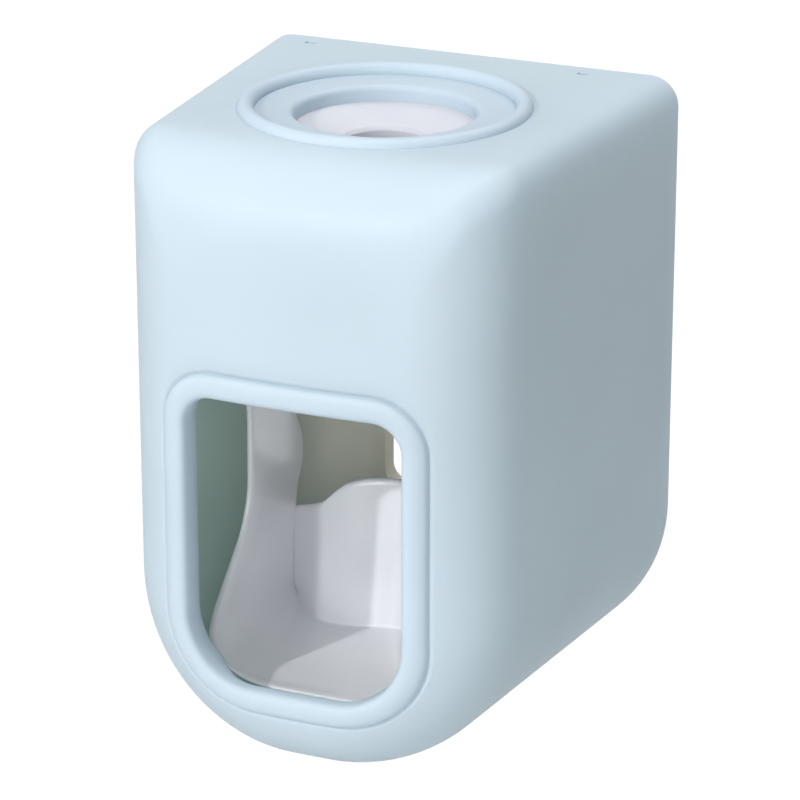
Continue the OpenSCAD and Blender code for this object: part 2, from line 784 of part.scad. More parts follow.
// Plan view of half of the push plate and its wing, moved back by a wall: a hollow face
// between two ridges, and from each ridge a round shoulder that runs back to the arm
function plate_line(back) = concat(
    [for (i = [0 : plate_steps])
        [ridge_x * i / plate_steps,
            back - plate_y + plate_dish * (1 + cos(180 * i / plate_steps)) / 2]],
    [for (i = [1 : wing_steps])
        [ridge_x + (wing_reach - back - ridge_x) * i / wing_steps,
            -wing_back_y - (plate_y - wing_back_y - back) * cos(90 * i / wing_steps)]]
);

module half_plate_band() {
    inner = plate_line(lever_wall);
    polygon(concat(plate_line(0), [for (i = [len(inner) - 1 : -1 : 0]) inner[i]]));
}

// What lies behind the plate and its wings
module half_pocket() {
    polygon(concat(plate_line(lever_wall), [[wing_reach - lever_wall, 0], [0, 0]]));
}

module both_sides_flat() {
    children();
    mirror([1, 0]) children();
}

// Leans its children back about the foot of the push plate
module leaning_back() {
    translate([0, -plate_y, scoop_floor]) rotate([-plate_lean, 0, 0])
        translate([0, plate_y, -scoop_floor]) children();
}

module push_plate() {
    shoulder_x = plate_half_w - shoulder_in;
    intersection() {
        leaning_back() linear_extrude(plate_top + 2) both_sides_flat() half_plate_band();
        channel(lever_wall);
        along_depth(0, scoop_front) union() {
            upright_outline(plate_half_w, scoop_floor - lever_wall, plate_top, plate_corner_r, 1);
            polygon([
                [-wing_reach, 0],
                [wing_reach, 0],
                [wing_reach, wing_top],
                [shoulder_x, plate_top - shoulder_drop],
                [-shoulder_x, plate_top - shoulder_drop],
                [-wing_reach, wing_top]
            ]);
        }
    }
}

module push_lever() {
    color(plastic_white) in_wall_frame() difference() {
        union() {
            difference() {
                intersection() {
                    difference() {
                        channel(lever_wall);
                        translate([0, -eps, 0]) channel(0);
                    }
                    along_width(-case_w / 2, case_w / 2) arm_outline();
                }
                leaning_back() linear_extrude(wing_top) both_sides_flat() half_pocket();
            }
            push_plate();
            both_sides() {
                translate([hub_inner_x, -pivot_y, pivot_z]) rotate([0, 90, 0])
                    cylinder(h = hub_outer_x - hub_inner_x, r = hub_r);
                translate([lever_half_w - 0.4, -drive_y, drive_z]) rotate([0, 90, 0])
                    cylinder(h = lever_wall + 2, r = horn_r);
            }
        }
        translate([-case_w / 2, -pivot_y, pivot_z]) rotate([0, 90, 0])
            cylinder(h = case_w, r = pivot_r + pivot_gap);
        translate([-case_w / 2, -drive_y, drive_z]) rotate([0, 90, 0]) cylinder(h = case_w, r = drive_r);
    }
}

module pivot_pins() {
    color(steel) in_wall_frame() both_sides()
        translate([cheek_x - cheek_t, -pivot_y, pivot_z]) rotate([0, 90, 0]) {
            cylinder(h = hub_outer_x + head_gap - cheek_x + cheek_t + eps, r = pivot_r);
            translate([0, 0, hub_outer_x + head_gap - cheek_x + cheek_t])
                cylinder(h = pin_head_t, r = pin_head_r);
        }
}

module drive_pin() {
    half = lever_half_w + lever_wall + 1.6;
    color(steel) in_wall_frame() translate([-half, -drive_y, drive_z]) rotate([0, 90, 0])
        cylinder(h = 2 * half, r = drive_r);
}

casing();
back_cover();
upper_wall_pad();
lower_wall_pad();
tube_seal();
seal_support_ring();
core_frame();
frame_screws();
cover_screws();
pump_body();
pump_screws();
inlet_valve();
outlet_valve();
nozzle_collar();
barrel_cap();
plunger();
plunger_seal();
return_spring();
push_lever();
pivot_pins();
drive_pin();
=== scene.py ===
"""Wall toothpaste dispenser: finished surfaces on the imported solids.

Sizes are in millimetres on the casing's own axes: x from the middle plane, y counted
forwards from the casing's back plane, z up from its lowest point. on_wall() turns them
into the row's frame, in metres.
"""
import math

import bmesh
import bpy
from mathutils import Matrix, Vector


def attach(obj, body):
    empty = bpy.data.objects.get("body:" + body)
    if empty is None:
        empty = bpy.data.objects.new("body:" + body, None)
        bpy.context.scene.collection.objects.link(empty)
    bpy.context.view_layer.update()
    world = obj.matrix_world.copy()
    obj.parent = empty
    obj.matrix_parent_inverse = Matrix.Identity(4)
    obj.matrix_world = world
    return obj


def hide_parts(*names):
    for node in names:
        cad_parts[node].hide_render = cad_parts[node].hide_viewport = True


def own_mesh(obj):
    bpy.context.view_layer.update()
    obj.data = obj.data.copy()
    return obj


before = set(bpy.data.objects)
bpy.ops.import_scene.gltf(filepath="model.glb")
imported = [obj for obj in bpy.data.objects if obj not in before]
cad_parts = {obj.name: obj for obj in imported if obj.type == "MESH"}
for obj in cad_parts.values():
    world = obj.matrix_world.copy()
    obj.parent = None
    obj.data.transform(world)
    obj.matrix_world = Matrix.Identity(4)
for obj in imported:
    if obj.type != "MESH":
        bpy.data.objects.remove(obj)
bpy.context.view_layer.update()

PAD_THICKNESS = 1.0
PAD_MIDDLE_Z = 78.0
# Points closer than this, in metres, become one.
MERGE = 1e-6
# Edges bent by more than this, in degrees, stay sharp in the shading.
SHARP_ABOVE = 38.0


def on_wall(x, forwards, z):
    """A point of the casing's axes, in the row's frame."""
    return Vector((x, -forwards - PAD_THICKNESS, z - PAD_MIDDLE_Z)) / 1000


# ---------------------------------------------------------------- colours and nodes

# The Mix node's sockets when it blends two colours.
SHARE, FIRST, SECOND, BLEND = 0, 6, 7, 2
# The middle part of a noise, which is stretched over a pattern's whole range.
NOISE_MIDDLE = {"From Min": 0.3, "From Max": 0.7}
# Brings the casing's middle to the origin of the moulded patterns, in metres.
TO_CASE_MIDDLE = (0.0, 0.034, 0.03)
SCUFF_MM, MOTTLE_MM = 6.0, 1.6
FOAM_CELL_MM, FOAM_CLOUD_MM = 0.45, 5.0


def tint(code):
    """An sRGB hex colour as the linear colour that the shaders take."""
    channels = [int(code[i:i + 2], 16) / 255 for i in (0, 2, 4)]
    linear = [c / 12.92 if c <= 0.04045 else ((c + 0.055) / 1.055) ** 2.4 for c in channels]
    return (*linear, 1.0)


def add(tree, kind, settings=None, values=None, links=None):
    """Adds one node, with its settings, its socket values and its incoming links."""
    made = tree.nodes.new(kind)
    for name, value in (settings or {}).items():
        setattr(made, name, value)
    for socket, value in (values or {}).items():
        made.inputs[socket].default_value = value
    for socket, source in (links or {}).items():
        tree.links.new(source, made.inputs[socket])
    return made


def new_material(name):
    """A material without nodes, and its node tree."""
    made = bpy.data.materials.new(name)
    made.use_nodes = True
    made.node_tree.nodes.clear()
    return made, made.node_tree


def moulded(name, light, deep, roughness, grain_mm, grain_depth_mm, wave_mm, specular=0.5, coat=0.0,
            subsurface=0.0, through=0.0):
    """A moulded polymer: a slow drift of colour and gloss, and a fine skin from the mould.
    A thin pale wall lets a share of the light through."""
    made, tree = new_material(name)
    where = add(tree, "ShaderNodeTexCoord").outputs["Object"]
    point = add(tree, "ShaderNodeMapping", values={"Location": TO_CASE_MIDDLE},
                links={"Vector": where}).outputs["Vector"]
    drift = add(tree, "ShaderNodeTexNoise", values={"Scale": 1000 / wave_mm, "Detail": 3.0},
                links={"Vector": point}).outputs["Fac"]
    grain = add(tree, "ShaderNodeTexNoise", values={"Scale": 1000 / grain_mm, "Detail": 2.0},
                links={"Vector": point}).outputs["Fac"]
    scuff = add(tree, "ShaderNodeTexNoise",
                values={"Scale": 1000 / SCUFF_MM, "Detail": 5.0, "Roughness": 0.7},
                links={"Vector": point}).outputs["Fac"]
    cloud = add(tree, "ShaderNodeMapRange", values={**NOISE_MIDDLE, "To Min": 0.0, "To Max": 1.0},
                links={"Value": drift}).outputs["Result"]
    colour = add(tree, "ShaderNodeMix", {"data_type": "RGBA"}, {FIRST: tint(light), SECOND: tint(deep)},
                 {SHARE: cloud}).outputs[BLEND]
    worn = add(tree, "ShaderNodeMapRange",
               values={**NOISE_MIDDLE, "To Min": roughness - 0.03, "To Max": roughness + 0.04},
               links={"Value": scuff}).outputs["Result"]
    pitted = add(tree, "ShaderNodeMapRange", values={**NOISE_MIDDLE, "To Min": -0.015, "To Max": 0.015},
                 links={"Value": grain}).outputs["Result"]
    gloss = add(tree, "ShaderNodeMath", {"operation": "ADD"}, links={0: worn, 1: pitted}).outputs[0]
    skin = add(tree, "ShaderNodeBump", values={"Strength": 0.35, "Distance": grain_depth_mm / 1000},
               links={"Height": grain}).outputs["Normal"]
    flow = add(tree, "ShaderNodeBump", values={"Strength": 0.25, "Distance": 0.00006},
               links={"Height": drift, "Normal": skin}).outputs["Normal"]
    shader = add(tree, "ShaderNodeBsdfPrincipled",
                 values={"IOR": 1.52, "Specular IOR Level": specular, "Coat Weight": coat,
                         "Coat Roughness": 0.06, "Subsurface Weight": subsurface,
                         "Subsurface Scale": 0.004, "Subsurface Radius": (1.0, 0.8, 0.7)},
                 links={"Base Color": colour, "Roughness": gloss, "Normal": flow})
    if through:
        passed = add(tree, "ShaderNodeBsdfTranslucent", links={"Color": colour})
        shader = add(tree, "ShaderNodeMixShader", values={0: through},
                     links={1: shader.outputs[0], 2: passed.outputs[0]})
    add(tree, "ShaderNodeOutputMaterial", links={"Surface": shader.outputs[0]})
    return made


def worked_metal(name, light, dark, roughness, line_mm, stretch):
    """Metal with fine lines left by drawing or turning, and a faint mottle from its coating."""
    made, tree = new_material(name)
    where = add(tree, "ShaderNodeTexCoord").outputs["Object"]
    point = add(tree, "ShaderNodeMapping", values={"Scale": stretch},
                links={"Vector": where}).outputs["Vector"]
    lines = add(tree, "ShaderNodeTexNoise",
                values={"Scale": 1000 / line_mm, "Detail": 4.0, "Roughness": 0.6},
                links={"Vector": point}).outputs["Fac"]
    mottle = add(tree, "ShaderNodeTexNoise", values={"Scale": 1000 / MOTTLE_MM, "Detail": 3.0},
                 links={"Vector": point}).outputs["Fac"]
    cloud = add(tree, "ShaderNodeMapRange", values={**NOISE_MIDDLE, "To Min": 0.0, "To Max": 1.0},
                links={"Value": mottle}).outputs["Result"]
    colour = add(tree, "ShaderNodeMix", {"data_type": "RGBA"}, {FIRST: tint(light), SECOND: tint(dark)},
                 {SHARE: cloud}).outputs[BLEND]
    gloss = add(tree, "ShaderNodeMapRange",
                values={**NOISE_MIDDLE, "To Min": roughness - 0.06, "To Max": roughness + 0.08},
                links={"Value": lines}).outputs["Result"]
    normal = add(tree, "ShaderNodeBump", values={"Strength": 0.3, "Distance": 0.00002},
                 links={"Height": lines}).outputs["Normal"]
    shader = add(tree, "ShaderNodeBsdfPrincipled", values={"Metallic": 1.0},
                 links={"Base Color": colour, "Roughness": gloss, "Normal": normal})
    add(tree, "ShaderNodeOutputMaterial", links={"Surface": shader.outputs[0]})
    return made


def closed_cell_foam(name, light, deep):
    """Polyethylene foam tape: small closed cells cut open at its edges."""
    made, tree = new_material(name)
    where = add(tree, "ShaderNodeTexCoord").outputs["Object"]
    point = add(tree, "ShaderNodeMapping", values={"Location": (0.0, PAD_THICKNESS / 2000, 0.0)},
                links={"Vector": where}).outputs["Vector"]
    cells = add(tree, "ShaderNodeTexVoronoi", {"feature": "F1"}, {"Scale": 1000 / FOAM_CELL_MM},
                {"Vector": point}).outputs["Distance"]
    drift = add(tree, "ShaderNodeTexNoise", values={"Scale": 1000 / FOAM_CLOUD_MM, "Detail": 3.0},
                links={"Vector": point}).outputs["Fac"]
    cloud = add(tree, "ShaderNodeMapRange", values={**NOISE_MIDDLE, "To Min": 0.0, "To Max": 1.0},
                links={"Value": drift}).outputs["Result"]
    colour = add(tree, "ShaderNodeMix", {"data_type": "RGBA"}, {FIRST: tint(light), SECOND: tint(deep)},
                 {SHARE: cloud}).outputs[BLEND]
    normal = add(tree, "ShaderNodeBump", values={"Strength": 0.6, "Distance": 0.00012},
                 links={"Height": cells}).outputs["Normal"]
    shader = add(tree, "ShaderNodeBsdfPrincipled", values={"Roughness": 0.85, "Specular IOR Level": 0.25},
                 links={"Base Color": colour, "Normal": normal})
    add(tree, "ShaderNodeOutputMaterial", links={"Surface": shader.outputs[0]})
    return made


# Injection moulded ABS, spark-eroded mould: satin, even, pale blue with soft broad highlights.
casing_abs = moulded("satin moulded ABS, ice blue", "CCDAE4", "C7D5DF", roughness=0.42, grain_mm=0.28,
                     grain_depth_mm=0.012, wave_mm=38.0, specular=0.2, through=0.34)
# The same ABS on the core side of the mould, rougher than the face side. Its greyer, greener colour is
# painted shade: the tint light takes after bouncing inside the pale blue casing.
core_side_painted_shade = moulded("rough moulded ABS, core side with painted shade tint", "CAD9CD", "C4D3C7", roughness=0.5, grain_mm=0.3,
                    grain_depth_mm=0.02, wave_mm=30.0, specular=0.4, through=0.34)
# The cover's core side: the same rough finish. Its warmer stone grey is painted shade, the look of the
# cover's inside and its opening's jamb in shadow.
cover_inside_painted_shade = moulded("rough moulded ABS, cover core side with painted shade tint", "DFD9CB", "D8D2C4", roughness=0.5,
                       grain_mm=0.3, grain_depth_mm=0.02, wave_mm=30.0, specular=0.4, through=0.34)
# Injection moulded ABS from a polished mould: glossy white with a lavender cast.
lever_abs = moulded("polished moulded ABS, white", "F2F2F6", "ECECF2", roughness=0.17, grain_mm=0.6,
                    grain_depth_mm=0.004, wave_mm=22.0, specular=0.5, coat=0.35, through=0.12)
# Moulded ABS inside the case, matt from the mould, plain white.
inner_abs = moulded("matt moulded ABS, inner white", "E4E7E8", "DADFE1", roughness=0.55, grain_mm=0.22,
                    grain_depth_mm=0.016, wave_mm=20.0, specular=0.4)
# Compression moulded silicone rubber: soft, matt and slightly see-through, a pale shell grey.
seal_silicone = moulded("moulded silicone rubber, shell white", "BFC2C8", "BABBC3", roughness=0.48,
                        grain_mm=0.35, grain_depth_mm=0.01, wave_mm=12.0, specular=0.35, subsurface=0.25)
# Turned or headed steel with a bright zinc coat.
zinc_steel = worked_metal("zinc plated steel", "C9CCD0", "B4B8BD", roughness=0.30, line_mm=0.18,
                          stretch=(1.0, 1.0, 1.0))
# Drawn spring wire: bright, with fine lines along the wire.
spring_steel = worked_metal("drawn stainless spring wire", "C4C4C2", "A9A9A8", roughness=0.24,
                            line_mm=0.12, stretch=(1.0, 1.0, 3.0))
# Double-sided polyethylene foam tape: dull grey, pitted by its cells.
tape_foam = closed_cell_foam("polyethylene foam tape, grey", "BFC3C6", "ACB1B5")


# ---------------------------------------------------------------- mesh helpers


def shade(work, sharp_above=SHARP_ABOVE):
    """Shades a bmesh smooth, apart from open edges and edges bent by more than sharp_above."""
    work.normal_update()
    for face in work.faces:
        face.smooth = True
    for edge in work.edges:
        edge.smooth = len(edge.link_faces) == 2 and edge.calc_face_angle(0.0) < math.radians(sharp_above)


def finish(name, work, body, material, sharp_above=SHARP_ABOVE):
    """Turns a bmesh into a smooth-shaded object that rides on a body."""
    shade(work, sharp_above)
    mesh = bpy.data.meshes.new(name)
    work.to_mesh(mesh)
    work.free()
    made = bpy.data.objects.new(name, mesh)
    bpy.context.scene.collection.objects.link(made)
    mesh.materials.append(material)
    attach(made, body)
    return made


def close_up(work, distance=MERGE):
    """Merges a bmesh's doubles and points its faces outwards."""
    bmesh.ops.remove_doubles(work, verts=work.verts, dist=distance)
    bmesh.ops.recalc_face_normals(work, faces=work.faces)


def bent_grid(work, across, along, place, second=None):
    """A flat grid moved to place(i, j) by column and row. A face gets the second material
    where second(i, j) holds for all its corners."""
    made = bmesh.ops.create_grid(work, x_segments=across, y_segments=along, size=0.5)["verts"]
    cells = {point: (round((point.co.x + 0.5) * across), round((point.co.y + 0.5) * along))
             for point in made}
    if second:
        for face in work.faces:
            face.material_index = int(all(second(*cells[point]) for point in face.verts))
    for point, cell in cells.items():
        point.co = place(*cell)


def closed_ring(work, points):
    """A closed loop of points with its edges, ready to be spun."""
    ring = [work.verts.new(point) for point in points]
    return ring + [work.edges.new(pair) for pair in zip(ring, ring[1:] + ring[:1])]


def turned(work, profile, middle_y, steps=96, middle_x=0.0):
    """Spins a closed profile of (radius, z) about the upright axis at middle_x and middle_y."""
    ring = closed_ring(work, [on_wall(middle_x + r, middle_y, z) for r, z in profile])
    bmesh.ops.spin(work, geom=ring, cent=on_wall(middle_x, middle_y, 0), axis=(0, 0, 1),
                   angle=math.tau, steps=steps, use_merge=True, use_duplicate=False)
    close_up(work)


def rounded(corner, before, after, radius, steps=5):
    """Points of the round at a corner between two neighbours of a profile."""
    c, a, b = (Vector(p) for p in (corner, before, after))
    to_a, to_b = (a - c).normalized(), (b - c).normalized()
    half = to_a.angle(to_b) / 2
    reach = radius / math.tan(half)
    middle = c + (to_a + to_b).normalized() * (radius / math.sin(half))
    start, end = c + to_a * reach - middle, c + to_b * reach - middle
    turn = start.angle(end)
    points = []
    for i in range(steps + 1):
        s = i / steps
        blend = start * math.sin((1 - s) * turn) + end * math.sin(s * turn)
        points.append(middle + blend / math.sin(turn))
    return [(p.x, p.y) for p in points]


def softened(profile, radii):
    """A closed profile with each corner rounded by its own radius, 0 for a sharp one."""
    points = []
    for i, corner in enumerate(profile):
        if radii[i]:
            points += rounded(corner, profile[i - 1], profile[(i + 1) % len(profile)], radii[i])
        else:
            points.append(corner)
    return points


# ---------------------------------------------------------------- casing

CASE_W, CASE_H, CASE_D = 70.0, 97.6, 64.4
CROWN, TAPER, RISE = 2.9, 5.1, 1.0
TOP_R, BOTTOM_R, FRONT_R = 4.6, 27.4, 12.2
WALL = 2.2
CORNER_SHARE = 0.8
BEND = CASE_D - FRONT_R
WINDOW = {"half": 17.5, "low": 15.1, "high": 60.6, "top_r": 4.6, "bottom_r": 10.5}
BEAD_W, BEAD_H = 3.8, 1.0
FLANGE_IN, FLANGE_T = 2.0, 1.6
SILL_DEPTH, SILL_BLEND = 1.2, 3.2
# The groove and the bead round the window, from the groove inwards: distance out from the
# window's edge, and share of the bead's height.
BEAD_PROFILE = [(BEAD_W + 0.38, -0.2), (BEAD_W + 0.1, -0.42), (BEAD_W, -0.2), (BEAD_W - 0.03, 0.16),
                (BEAD_W - 0.16, 0.45), (BEAD_W - 0.42, 0.67), (BEAD_W - 0.85, 0.86),
                (BEAD_W - 1.3, 0.96), (BEAD_W - 1.75, 1.0), (1.6, 1.0), (1.15, 0.95), (0.72, 0.82),
                (0.38, 0.6), (0.14, 0.28), (0.0, -0.2)]

# Steps along the flats and round the bends of every outline.
FOOT_STEPS, SIDE_STEPS, HEAD_STEPS = 7, 17, 21
LOW_BEND_STEPS, TOP_BEND_STEPS = 22, 12
# The front's rings start at this turn of its round, in degrees, and crowd towards it.
FRONT_START, FRONT_CROWDING = 60, 1.35
FRONT_RINGS, INNER_FRONT_RINGS = 16, 12
# Rings along the sides, forwards of the back plane, and round to the front, in degrees.
SIDE_RINGS, INNER_SIDE_RINGS = (0.0, 0.4, 12.0, 26.0, 40.0, 50.5, BEND), (40.0, 20.0, 0.3)
ROUND_RINGS, INNER_ROUND_RINGS = (6, 12, 18, 25, 32, 39, 46, 53, FRONT_START), (FRONT_START, 45, 30, 15, 0)
# A turn on the front's round is found to this many degrees.
TURN_STEP = 1e-6


def rounded_outline(half, low, high, top_r, bottom_r):
    """Points round an upright outline. The same index is the same place on every outline."""
    def run(a, b, steps):
        """A flat from a to b, with closer points next to its bends."""
        shares = [0.0, 0.02, 0.07] + [0.07 + 0.86 * k / steps for k in range(1, steps)] + [0.93, 0.98]
        return [(a[0] + (b[0] - a[0]) * s, a[1] + (b[1] - a[1]) * s) for s in shares]

    def bend(x, z, r, start, steps):
        """A quarter round about x and z, from the angle start."""
        turns = [math.radians(start + 90 * k / steps) for k in range(steps)]
        return [(x + r * math.cos(a), z + r * math.sin(a)) for a in turns]

    return (run((bottom_r - half, low), (half - bottom_r, low), FOOT_STEPS)
            + bend(half - bottom_r, low + bottom_r, bottom_r, 270, LOW_BEND_STEPS)
            + run((half, low + bottom_r), (half, high - top_r), SIDE_STEPS)
            + bend(half - top_r, high - top_r, top_r, 0, TOP_BEND_STEPS)
            + run((half - top_r, high), (top_r - half, high), HEAD_STEPS)
            + bend(top_r - half, high - top_r, top_r, 90, TOP_BEND_STEPS)
            + run((-half, high - top_r), (-half, low + bottom_r), SIDE_STEPS)
            + bend(bottom_r - half, low + bottom_r, bottom_r, 180, LOW_BEND_STEPS))


def case_sizes(inset, share):
    """The casing's section moved in by inset at a share of its depth, as outline sizes."""
    return (CASE_W / 2 - inset - TAPER * share, inset + RISE * share, CASE_H - inset,
            max(TOP_R - inset, 0) + CORNER_SHARE * inset, BOTTOM_R - inset)


def crown_at(x, share):
    """How far the crown of the front carries a point forwards at x, at a share of the depth."""
    return CROWN * share * (1 - (2 * x / CASE_W) ** 2)


def on_side(inset, forwards):
    """A ring of points round the casing's sides."""
    share = forwards / CASE_D
    return [(x, forwards + crown_at(x, share), z) for x, z in rounded_outline(*case_sizes(inset, share))]


def round_at(wall, turn):
    """Inset and forwards place on the round between the sides and the front, turn in degrees."""
    r = FRONT_R - wall
    a = math.radians(turn)
    return wall + r * (1 - math.cos(a)), BEND + r * math.sin(a)


def outside(x, z, half, low, high, top_r, bottom_r):
    """How far a point lies outside an outline, negative inside."""
    ax = abs(x)
    if z > high - top_r and ax > half - top_r:
        return math.hypot(ax - half + top_r, z - high + top_r) - top_r
    if z < low + bottom_r and ax > half - bottom_r:
        return math.hypot(ax - half + bottom_r, low + bottom_r - z) - bottom_r
    return max(ax - half, z - high, low - z)


def front_at(x, z, wall):
    """How far forwards the front surface lies at x and z, moved in by wall. On the round, the
    turn whose section passes through the point is found by halving."""
    def holds(turn):
        """Whether the section at a turn still holds the point."""
        inset, forwards = round_at(wall, turn)
        return outside(x, z, *case_sizes(inset, forwards / CASE_D)) <= 0

    low_turn = 90.0 if holds(90.0) else 0.0
    high_turn = 90.0
    while high_turn - low_turn > TURN_STEP:
        middle = (low_turn + high_turn) / 2
        if holds(middle):
            low_turn = middle
        else:
            high_turn = middle
    forwards = round_at(wall, low_turn)[1]
    return forwards + crown_at(x, forwards / CASE_D)


def window_ring(grow):
    """The window's outline, grown outwards."""
    return rounded_outline(WINDOW["half"] + grow, WINDOW["low"] - grow, WINDOW["high"] + grow,
                           WINDOW["top_r"] + grow, WINDOW["bottom_r"] + grow)


def front_rings(wall, grow, count):
    """Rings from the front's round to the outline round the window, on the front surface."""
    outer = on_side(*round_at(wall, FRONT_START))
    inner = window_ring(grow)
    rings = []
    for k in range(1, count + 1):
        s = (k / count) ** FRONT_CROWDING
        ring = []
        for (x0, _, z0), (x1, z1) in zip(outer, inner):
            x, z = x0 + (x1 - x0) * s, z0 + (z1 - z0) * s
            ring.append((x, front_at(x, z, wall), z))
        rings.append(ring)
    return rings


def bead_ring(grow, height, wall=0.0):
    """A ring round the window at a height above the front surface."""
    return [(x, front_at(x, z, wall) + height, z) for x, z in window_ring(grow)]


def reveal_ring(grow, depth, low_depth):
    """A ring inside the window: its flange reaches in less at the window's foot."""
    ring = []
    for x, z in window_ring(grow):
        s = min(max((z - WINDOW["low"] + 0.5) / SILL_BLEND, 0.0), 1.0)
        s = s * s * (3 - 2 * s)
        ring.append((x, front_at(x, z, 0.0) - (low_depth + (depth - low_depth) * s), z))
    return ring


def casing_rings():
    """All rings of the shell, from its back edge outside, round the window, and back inside.
    The second result is the first ring of the inner side."""
    lip = WALL + FLANGE_IN
    rings = [on_side(0.0, y) for y in SIDE_RINGS]
    rings += [on_side(*round_at(0.0, turn)) for turn in ROUND_RINGS]
    rings += front_rings(0.0, BEAD_W + 0.75, FRONT_RINGS)
    rings += [bead_ring(grow, height * BEAD_H) for grow, height in BEAD_PROFILE]
    rings.append(reveal_ring(0.0, 1.5, SILL_DEPTH - 0.3))
    rings.append(reveal_ring(0.0, lip - 0.5, SILL_DEPTH))
    rings.append(reveal_ring(0.15, lip - 0.14, SILL_DEPTH + 0.4))
    rings.append(reveal_ring(0.5, lip, WALL - 0.2))
    rings.append(reveal_ring(FLANGE_T - 0.3, lip, WALL))
    first_inner = len(rings)
    rings.append(reveal_ring(FLANGE_T, lip - 0.3, WALL))
    rings.append(bead_ring(FLANGE_T + 0.02, 0.0, WALL))
    rings += reversed(front_rings(WALL, FLANGE_T + 0.6, INNER_FRONT_RINGS))
    rings += [on_side(*round_at(WALL, turn)) for turn in INNER_ROUND_RINGS]
    rings += [on_side(WALL, y) for y in INNER_SIDE_RINGS]
    rings.append(on_side(WALL - 0.25, 0.0))
    return rings, first_inner


def cut_away(target, cutter):
    """Takes the cutter out of the target for good."""
    step = target.modifiers.new("cut", "BOOLEAN")
    step.operation = "DIFFERENCE"
    step.solver = "EXACT"
    step.object = cutter
    bpy.context.view_layer.update()
    cut = target.evaluated_get(bpy.context.evaluated_depsgraph_get())
    target.data = bpy.data.meshes.new_from_object(cut)
    target.modifiers.clear()
    bpy.data.objects.remove(cutter)


INLET_Y = 32.7
RING_R, RING_BEAD = 21.0, 1.29
RING_SEAT = RING_R + 0.9
HOLE_R, HOLE_ROUND, HOLE_LIP = 13.7, 1.0, 0.8
RECESS = 0.5
COLLAR_OUT, COLLAR_IN, COLLAR_DEPTH, COLLAR_EDGE = 18.8, 17.0, 2.4, 0.2
NOTCHES, NOTCH_Y = (-25.8, 20.5), 3.5
# The notch cutter's width, length and height, in metres.
NOTCH_SIZE = (0.0018, 0.0012, 0.008)

shell = bmesh.new()
rings, first_inner = casing_rings()
count = len(rings[0])
# Faces of the inner side get the second material, whose greener tint is painted shade.
bent_grid(shell, count, len(rings), lambda i, j: on_wall(*rings[j % len(rings)][i % count]),
          lambda i, j: first_inner <= j < len(rings))
close_up(shell)
casing = finish("casing_shell", shell, "housing", casing_abs)
casing.data.materials.append(core_side_painted_shade)

tool = bmesh.new()
bmesh.ops.create_cone(tool, cap_ends=True, segments=96, radius1=RING_SEAT / 1000,
                      radius2=RING_SEAT / 1000, depth=0.02,
                      matrix=Matrix.Translation(on_wall(0, INLET_Y, CASE_H)))
for x in NOTCHES:
    bmesh.ops.create_cube(tool, size=1.0, matrix=Matrix.Translation(on_wall(x, NOTCH_Y, CASE_H))
                          @ Matrix.Diagonal((*NOTCH_SIZE, 1.0)))
cutter = finish("inlet_cutter", tool, "housing", casing_abs)
cut_away(casing, cutter)
shaped = bmesh.new()
shaped.from_mesh(casing.data)
shade(shaped)
shaped.to_mesh(casing.data)
shaped.free()
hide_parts("casing")

# Top ring: hole wall, recess, round bead and the collar under it that centres the seal.
rim = bmesh.new()
top, under = CASE_H, CASE_H - WALL
low_edge = under - COLLAR_DEPTH + COLLAR_EDGE
hole_round = rounded((HOLE_R, top - RECESS), (HOLE_R, under), (RING_R, top - RECESS), HOLE_ROUND, 4)
bead = [(RING_R + RING_BEAD * math.cos(math.radians(a)), top + RING_BEAD * math.sin(math.radians(a)))
        for a in range(200, -6, -12)]
collar = [(RING_SEAT, top - 0.12), (RING_SEAT - 0.02, under), (COLLAR_OUT, under), (COLLAR_OUT, low_edge),
          (COLLAR_OUT - COLLAR_EDGE, under - COLLAR_DEPTH), (COLLAR_IN + COLLAR_EDGE, under - COLLAR_DEPTH),
          (COLLAR_IN, low_edge), (COLLAR_IN, under - HOLE_LIP)]
turned(rim, [(HOLE_R, under - HOLE_LIP)] + hole_round
       + [(19.3, top - RECESS), (19.6, top - RECESS + 0.04)] + bead
       + [(RING_R + RING_BEAD + 0.05, top - 0.06)] + collar, INLET_Y)
top_ring = finish("top_ring", rim, "housing", casing_abs)

# Screw bosses under the top, by place, and their section as (radius, z).
BOSS_PLACES = ((24, 15), (-24, 15), (21, 49.5), (-21, 49.5))
BOSS_SECTION = [(1.1, 90.5), (3.2, 90.5), (3.5, 95.6), (1.1, 95.6)]
posts = bmesh.new()
for x, y in BOSS_PLACES:
    turned(posts, softened(BOSS_SECTION, [0, 0.3, 0, 0]), y, 32, x)
bosses = finish("screw_bosses", posts, "housing", casing_abs)

# ---------------------------------------------------------------- silicone seal

SEAL_SECTION = [(6.0, 86.6), (8.1, 86.6), (8.1, 90.6), (10.3, 92.4), (16.7, 92.4), (16.7, 94.6),
                (13.7, 94.6), (6.6, 92.8), (6.0, 92.2)]
SEAL_ROUNDS = [0.3, 0.4, 0.6, 0.8, 0.3, 0.3, 0.5, 0.5, 0.3]
seal = bmesh.new()
turned(seal, softened(SEAL_SECTION, SEAL_ROUNDS), INLET_Y)
tube_seal = finish("silicone_seal", seal, "housing", seal_silicone, 60)
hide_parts("tube_seal")

# ---------------------------------------------------------------- push lever

PIVOT_Y, PIVOT_Z = 31.0, 62.0
DRIVE_Y, DRIVE_Z = 15.0, 60.5
MID_HALF = 22.3
FLOOR_Z = 9.7
CORNER_FRONT, CORNER_REAR = 14.8, 3.8
LEVER_T = 1.6
LIP_RISE, LIP_START = 1.0, 0.86
PLATE_TOP, WING_TOP, WING_RISE = 35.2, 24.4, 2.4
PLATE_HALF, PLATE_CORNER = 13.2, 9.0
SHOULDER_X, SHOULDER_Z = 12.5, 30.3
PLATE_LEAN = math.radians(4.4)
PLATE_FOOT = 10.5
PLATE_Y = 30.6 - LEVER_T / 2
RIDGE_X, HOLLOW = 8.5, 2.1
BEND_X, WING_REACH, WING_BACK = 12.0, 21.1, 20.5
WING_EASE, WING_PAST = 0.12, 0.6
